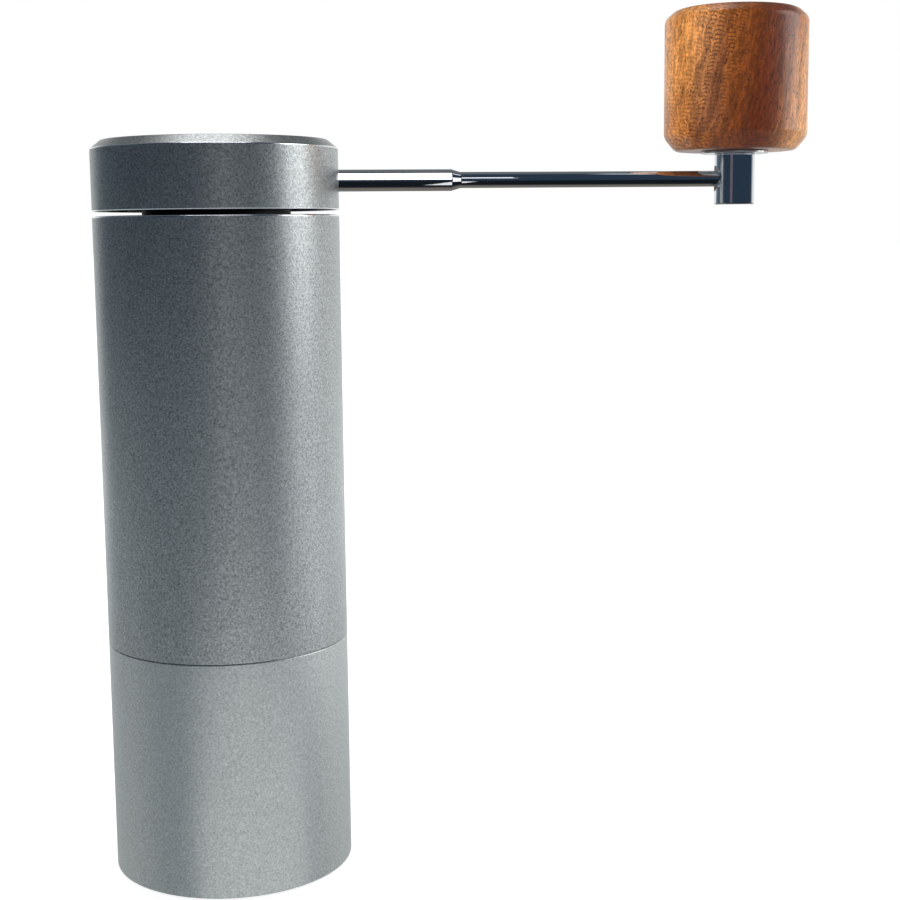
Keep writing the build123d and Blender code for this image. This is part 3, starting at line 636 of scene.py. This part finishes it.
brokenEdges = {
    "upper_bridge": 0.25, "burr_carrier": 0.25, "base_ring": 0.2, "lid_plug": 0.25, "drive_hub": 0.15,
    "main_shaft": 0.1, "outer_burr": 0.06, "inner_burr": 0.06, "index_plate": 0.1, "grind_dial": 0.2,
    "base_pad": 0.2, "cup_ring": 0.1, "knob_spindle": 0.1, "knob_bush": 0.1, "post_set_screw": 0.1,
    "hub_screw": 0.1, "shaft_clip": 0.08, "dial_clip": 0.08, "bridge_snap_ring": 0.1, "plug_screws": 0.1,
    "base_ring_screws": 0.1, "upper_bearing_outer_race": 0.12, "lower_bearing_outer_race": 0.12,
    "upper_bearing_inner_race": 0.12, "lower_bearing_inner_race": 0.12, "upper_bearing_shields": 0.05,
    "lower_bearing_shields": 0.05, "cup_magnets": 0.1, "lid_magnet": 0.15,
}
edgeFinish = {"merge": 2e-6, "flatAngle": 1.0, "smoothAngle": 32.0, "bevelAngle": 40.0, "segments": 2}


def finishedCopy(node, slot, bevel):
    # a CAD piece with its triangles merged, its edges broken and smooth shading
    bm = bmesh.new()
    bm.from_mesh(frame["nodes"][node].data)
    bmesh.ops.remove_doubles(bm, verts=bm.verts[:], dist=edgeFinish["merge"])
    bmesh.ops.dissolve_limit(bm, angle_limit=math.radians(edgeFinish["flatAngle"]), verts=bm.verts[:],
                             edges=bm.edges[:])
    obj = addPiece(node + "_finished", bm, [finishes[slot]], bodyOf[node], node,
                   edgeFinish["smoothAngle"])
    edges = obj.modifiers.new("brokenEdges", "BEVEL")
    edges.width = bevel * mm
    edges.segments = edgeFinish["segments"]
    edges.limit_method = "ANGLE"
    edges.angle_limit = math.radians(edgeFinish["bevelAngle"])
    edges.harden_normals = True
    obj.modifiers.move(1, 0)        # before the weighted normals


for nodeName, width in brokenEdges.items():
    finishedCopy(nodeName, slotOf[nodeName], width)
finishedCopy("knob_washer", "turned_steel", 0.08)

spring = {"heldTurn": 0.12, "merge": 1e-6, "smoothAngle": 50.0}     # the held turn is a share of the height


def makeSpring():
    # the CAD spring, merged and smooth shaded, attached to no body, with its placement baked into its mesh
    bm = bmesh.new()
    bm.from_mesh(frame["nodes"]["burr_spring"].data)
    bmesh.ops.remove_doubles(bm, verts=bm.verts[:], dist=spring["merge"])
    obj = addPiece("burrSpring", bm, [finishes["spring_steel"]], None, "burr_spring",
                   spring["smoothAngle"])
    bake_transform(obj)


makeSpring()
print("inner pieces finished:", len(brokenEdges) + 2)


# crank arm, post and knob; lengths in mm

arm = {"rootEnd": 50.5, "taper": 2.0, "rootRadius": 2.35, "rodRadius": 1.75, "rootBreak": 0.3,
       "taperBreak": 0.12, "tipBreak": 0.2, "steps": 96}


def makeArm():
    low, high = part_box("crank_arm")
    root, rod = arm["rootRadius"] * mm, arm["rodRadius"] * mm
    start, taperStart = low.x, arm["rootEnd"] * mm
    taperEnd, end = taperStart + arm["taper"] * mm, high.x
    soft = arm["taperBreak"] * mm
    bm = turnOutline([
        (0, start), (root, start, arm["rootBreak"] * mm), (root, taperStart, soft), (rod, taperEnd, soft),
        (rod, end, arm["tipBreak"] * mm), (0, end),
    ], arm["steps"])
    alongX(bm, (low.z + high.z) / 2)
    addPiece("crankArm", bm, [finishes["polished_steel"]], "crank", "crank_arm")


post = {"radius": 4.45, "edge": 0.35, "armHole": 1.77, "countersink": 1.1, "tipGap": 0.02, "steps": 96,
        "holeSteps": 64}


def makePost():
    low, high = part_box("knob_post")
    centreX = (low.x + high.x) / 2
    armLow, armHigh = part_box("crank_arm")
    radius, edge, hole = post["radius"] * mm, post["edge"] * mm, post["armHole"] * mm
    sink = post["countersink"] * mm
    tip = armHigh.x - centreX + post["tipGap"] * mm
    bm = turnOutline([(0, low.z), (radius, low.z, edge), (radius, high.z, edge), (0, high.z)], post["steps"])
    # the countersunk hole for the arm starts 1 mm outside the post
    cutter = turnOutline([(0, -radius - mm), (hole + sink + mm, -radius - mm), (hole, -radius + sink),
                          (hole, tip), (0, tip)], post["holeSteps"])
    bm = cutAway(bm, alongX(cutter, (armLow.z + armHigh.z) / 2))
    bm.transform(Matrix.Translation((centreX, 0, 0)))
    addPiece("knobPost", bm, [ownFinishes["post"]], "crank", "knob_post")


knob = {"topWidth": 2.4, "topHeight": 2.1, "footWidth": 2.5, "footHeight": 2.95, "round": 0.9,
        "footBreak": 0.7, "bore": 6.02, "boreBreak": 0.25, "boreRoom": 1.0, "steps": 128}


def makeKnob():
    low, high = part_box("knob")
    radius = (high.x - low.x) / 2
    foot, top, soft = low.z, high.z, knob["round"] * mm
    bore = knob["bore"] * mm
    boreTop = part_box("knob_spindle")[1].z + knob["boreRoom"] * mm
    bm = turnOutline([
        (bore, foot, knob["boreBreak"] * mm), (radius - knob["footWidth"] * mm, foot, knob["footBreak"] * mm),
        (radius, foot + knob["footHeight"] * mm, soft), (radius, top - knob["topHeight"] * mm, soft),
        (radius - knob["topWidth"] * mm, top, soft), (0, top), (0, boreTop), (bore, boreTop),
    ], knob["steps"])
    bm.transform(Matrix.Translation((knobCentre.x, knobCentre.y, 0)))
    addPiece("woodKnob", bm, [finishes["knob_wood"]], "knob", "knob")


makeArm()
makePost()
makeKnob()
print("crank made")


# studio: a white sweep behind, dark in front, and soft panels round the grinder; lengths in metres

sky = {
    "navy": (0.026, 0.044, 0.070),
    "dusk": (0.13, 0.165, 0.20),
    "sweep": (0.95, 0.97, 0.97),
    "under": (0.009, 0.012, 0.016),
    "underBehind": (0.20, 0.185, 0.165),
    "overhead": (0.16, 0.175, 0.185),
    # share of a full turn, from behind on the left, past the camera's side at 0.5, to behind on the right
    "around": [(0.0, "sweep"), (0.085, "sweep"), (0.125, "dusk"), (0.27, "navy"), (0.755, "navy"),
               (0.82, "sweep"), (1.0, "sweep")],
    # sines of the elevations between which the sweep gives way to the roof and to the dark below
    "aloft": (0.35, 0.55),
    "below": (-0.10, -0.34),
    "behind": (-0.35, 0.25),
}

# the floor's glow is painted light: weaker close to the grinder, plain white further out
paperFloor = {"size": 24.0, "drop": 0.0002, "colour": (0.92, 0.92, 0.92), "glow": (0.06, 0.40, 0.72, 1.05)}

lightGroups = {
    "notSteel": (["crankArm", "knobPost", "floor"], "EXCLUDE"),
    "onlyBody": (["bodyTube", "crankCap"], "INCLUDE"),
    "onlyArm": (["crankArm"], "INCLUDE"),
    "onlyPost": (["knobPost"], "INCLUDE"),
    "onlyKnob": (["woodKnob"], "INCLUDE"),
    "onlyFloor": (["floor"], "INCLUDE"),
}

# the tall panel on the right, one overhead, a faint window in front, and one from above for the body alone
windowPanels = [
    {"name": "rightPanel", "size": (0.46, 0.62), "place": (0.78, -0.10, 0.42), "aim": (0, 0, 0.13),
     "radiance": 3.7, "colour": (0.985, 1.0, 0.995), "group": "notSteel"},
    {"name": "topPanel", "size": (0.34, 0.26), "place": (-0.02, 0.12, 0.75), "aim": (0, 0, 0.15),
     "radiance": 2.9, "group": "notSteel"},
    {"name": "frontWindow", "size": (0.10, 0.60), "place": (0.07, -0.80, 0.42), "aim": (0, 0, 0.14),
     "radiance": 0.5, "colour": (1.0, 0.93, 0.90), "group": "notSteel"},
    {"name": "frontTop", "size": (0.60, 0.18), "place": (0.0, -0.36, 0.76), "aim": (0, 0, 0.14),
     "radiance": 2.4, "group": "onlyBody"},
]

# light off the table: panels below it that face up, each with its centre
tableDepth = -0.03
tablePanels = [
    {"name": "tableGlow", "size": (2.4, 2.4), "centre": (0.05, -0.05), "radiance": 0.30,
     "colour": (0.90, 1.0, 1.05), "shape": "ELLIPSE"},
    {"name": "tableFront", "size": (0.34, 0.40), "centre": (0.055, -0.235), "radiance": 0.40,
     "colour": (1.0, 0.97, 0.93), "shape": "ELLIPSE"},
    {"name": "tableMiddle", "size": (0.12, 0.38), "centre": (0.055, -0.235), "radiance": 0.58,
     "colour": (1.0, 0.97, 0.93), "shape": "ELLIPSE"},
    {"name": "tableFar", "size": (0.90, 2.40), "centre": (0.20, -1.60), "radiance": 0.24,
     "colour": (1.0, 0.97, 0.95), "shape": "ELLIPSE"},
    {"name": "tableRight", "size": (0.50, 0.44), "centre": (0.56, -0.12), "radiance": 0.90,
     "colour": (0.985, 1.0, 0.995), "shape": "RECTANGLE"},
]

# even light on the knob, and on the floor
fillPanels = [
    {"name": "knobFill", "size": (0.50, 0.50), "place": (-0.36, -0.22, 0.26), "aim": knobCentre,
     "radiance": 3.7, "colour": (1.0, 0.95, 0.88), "group": "onlyKnob", "gloss": False},
    {"name": "knobSideFill", "size": (0.40, 0.40), "place": (0.56, -0.30, 0.25), "aim": knobCentre,
     "radiance": 2.6, "colour": (1.0, 0.97, 0.92), "group": "onlyKnob", "gloss": False},
    {"name": "floorWash", "size": (1.4, 1.4), "place": (0.0, 0.1, 1.2), "aim": (0, 0, 0),
     "radiance": 1.3, "group": "onlyFloor"},
]

# what the polished arm and post see
armCards = [
    {"name": "rootSpot", "size": (0.008, 0.058), "place": (0.0652, -0.077, 0.085), "aim": (0.05, 0, 0.149),
     "radiance": 1.0, "group": "onlyArm"},
    {"name": "rodStreak", "size": (0.028, 0.028), "place": (0.071, -0.10, 0.198), "aim": (0.055, 0, 0.149),
     "radiance": 1.1, "group": "onlyArm"},
    {"name": "rodWedge", "size": (0.010, 0.030), "place": (0.120, -0.03, 0.254), "aim": (0.091, 0, 0.149),
     "radiance": 1.0, "group": "onlyArm"},
    {"name": "coneCard", "size": (0.24, 0.70), "place": (0.72, -0.745, 0.18), "aim": (0.052, 0, 0.149),
     "radiance": 1.6, "group": "onlyArm"},
]
bandCards = {"elevations": (17.5, 40.5, 63.5), "step": 23.0, "reach": 0.10, "width": 0.128, "middle": 0.0015,
             "radiance": 4.0}
postStrip = {"name": "postStrip", "size": (0.07, 0.30), "place": (-0.056, -0.247, 0.15),
             "aim": (0.114, 0.0, 0.15), "radiance": 0.13, "colour": (1.0, 0.62, 0.68), "group": "onlyPost"}


def panel(name, size, place, aim, radiance, group, colour=(1, 1, 1), shape="RECTANGLE", gloss=True):
    # a soft panel of a set radiance: its power follows from its area
    data = bpy.data.lights.new(name, "AREA")
    data.shape = shape
    data.size, data.size_y = size
    data.energy = radiance * math.pi * size[0] * size[1]
    data.color = colour
    obj = bpy.data.objects.new(name, data)
    obj.location = place
    obj.rotation_euler = (Vector(aim) - Vector(place)).to_track_quat("-Z", "Y").to_euler()
    obj.visible_camera = False
    obj.visible_glossy = gloss
    bpy.context.scene.collection.objects.link(obj)
    obj.light_linking.receiver_collection = bpy.data.collections[group]


def makeBandCards():
    # three panels in an arc, that give the thick end of the arm its white band
    low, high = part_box("crank_arm")
    centre, middle, reach = (low.z + high.z) / 2, bandCards["middle"], bandCards["reach"]
    height = 2 * reach * math.tan(math.radians(bandCards["step"] / 2))
    for i, elevation in enumerate(bandCards["elevations"]):
        angle = math.radians(elevation)
        place = (middle, -reach * math.cos(angle), centre + reach * math.sin(angle))
        panel("bandCard%d" % (i + 1), (bandCards["width"], height), place, (middle, 0, centre),
              bandCards["radiance"], "onlyArm")


def makePanels():
    for spec in windowPanels:
        panel(**spec)
    for spec in tablePanels:
        x, y = spec["centre"]
        panel(spec["name"], spec["size"], (x, y, tableDepth), (x, y, 1.0), spec["radiance"], "notSteel",
              spec["colour"], spec["shape"])
    for spec in fillPanels + armCards:
        panel(**spec)
    makeBandCards()
    panel(**postStrip)


def makeWorld():
    # colour by direction, and plain white behind the grinder
    world = bpy.data.worlds.new("studioWorld")
    bpy.context.scene.world = world
    world.use_nodes = True
    tree = world.node_tree
    tree.nodes.clear()
    toward = tree.nodes.new("ShaderNodeTexCoord").outputs["Generated"]
    split = addNode(tree, "ShaderNodeSeparateXYZ", Vector=toward)
    bearing = calc(tree, "ARCTAN2", split.outputs["X"], calc(tree, "MULTIPLY", split.outputs["Y"], -1.0))
    turn = calc(tree, "MULTIPLY_ADD", bearing, 0.5 / math.pi, 0.5)
    around = ramp(tree, turn, [(position, sky[name]) for position, name in sky["around"]])
    aloft, below = [mapRange(tree, split.outputs["Z"], *sky[key], smooth=True) for key in ("aloft", "below")]
    behind = mapRange(tree, split.outputs["Y"], *sky["behind"], smooth=True)
    upper = blendColours(tree, aloft, around, blendColours(tree, behind, sky["navy"], sky["overhead"]))
    pit = blendColours(tree, behind, sky["under"], sky["underBehind"])
    lit = addNode(tree, "ShaderNodeBackground", Color=blendColours(tree, below, upper, pit), Strength=1.0)
    seen = addNode(tree, "ShaderNodeBackground", Color=(1, 1, 1, 1), Strength=1.0)
    path = tree.nodes.new("ShaderNodeLightPath")
    mix = addNode(tree, "ShaderNodeMixShader", Fac=path.outputs["Is Camera Ray"])
    link(tree, lit.outputs[0], mix.inputs[1])
    link(tree, seen.outputs[0], mix.inputs[2])
    out = tree.nodes.new("ShaderNodeOutputWorld")
    link(tree, mix.outputs[0], out.inputs["Surface"])


def makePaper():
    mat, tree, bsdf = newMaterial("paleFloor")
    bsdf.inputs["Base Color"].default_value = (*paperFloor["colour"], 1)
    bsdf.inputs["Roughness"].default_value = 1.0
    bsdf.inputs["Emission Color"].default_value = (1, 1, 1, 1)
    coords = tree.nodes.new("ShaderNodeTexCoord").outputs["Object"]
    # painted light: the floor glows, weaker close to the grinder and stronger further out, where it turns
    # plain white
    link(tree, mapRange(tree, lengthOf(tree, coords), *paperFloor["glow"]), bsdf.inputs["Emission Strength"])
    # clear from below, so that the underside can be looked at
    clear = tree.nodes.new("ShaderNodeBsdfTransparent")
    side = tree.nodes.new("ShaderNodeNewGeometry")
    mix = addNode(tree, "ShaderNodeMixShader", Fac=side.outputs["Backfacing"])
    link(tree, bsdf.outputs[0], mix.inputs[1])
    link(tree, clear.outputs[0], mix.inputs[2])
    link(tree, mix.outputs[0], tree.nodes["Material Output"].inputs["Surface"])
    return mat


def makeFloor():
    bm = bmesh.new()
    bmesh.ops.create_grid(bm, x_segments=1, y_segments=1, size=paperFloor["size"] / 2)
    mesh = bpy.data.meshes.new("floor")
    bm.to_mesh(mesh)
    bm.free()
    mesh.materials.append(makePaper())
    obj = bpy.data.objects.new("floor", mesh)
    obj.location = (0, 0, -paperFloor["drop"])
    obj.visible_glossy = False
    obj.visible_diffuse = False
    obj.visible_shadow = False
    bpy.context.scene.collection.objects.link(obj)


def makeLightGroups():
    # the pieces that a panel lights alone, or leaves out
    for name, (pieces, state) in lightGroups.items():
        group = bpy.data.collections.new(name)
        for piece in pieces:
            group.objects.link(bpy.data.objects[piece])
        for entry in group.collection_objects:
            entry.light_linking.link_state = state


makeFloor()
makeWorld()
makeLightGroups()
makePanels()
print("studio made")
